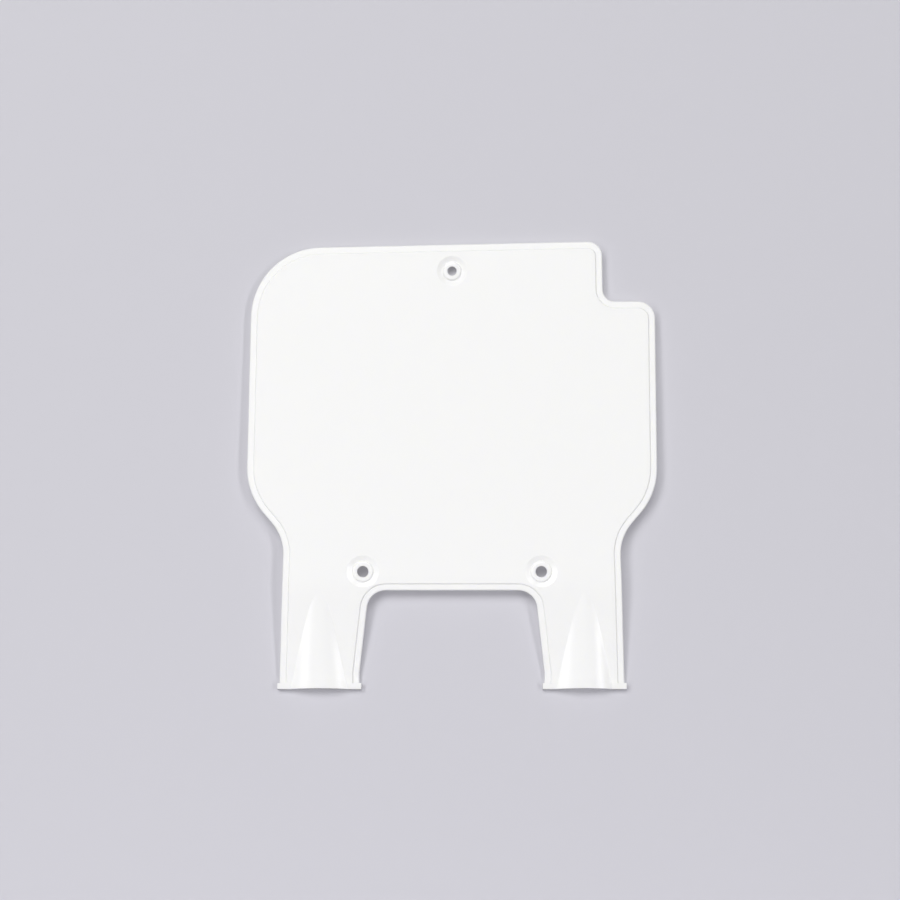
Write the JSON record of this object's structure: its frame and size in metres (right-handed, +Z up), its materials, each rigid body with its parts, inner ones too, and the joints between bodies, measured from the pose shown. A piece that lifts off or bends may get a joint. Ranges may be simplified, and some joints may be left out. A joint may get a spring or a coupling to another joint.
{
  "type": "racing number board",
  "caption": "Flat moulded front number board with a notched upper corner, a set-back margin, collared bolt holes in shallow dishes and legs that swell into round channels over the fork tubes.",
  "frame": {"origin": "midway between the two lower bolt holes, on the plane where their bosses seat on the fork clamp", "axes": "+Z up the board, +X to the right as seen from the front, the number field faces -Y"},
  "size_m": [0.2872, 0.0138, 0.3153],
  "materials": {
    "white_polypropylene": "white moulded polypropylene, satin gloss"
  },
  "bodies": {
    "root": {"number_board": "white_polypropylene"}
  },
  "joints": []
}
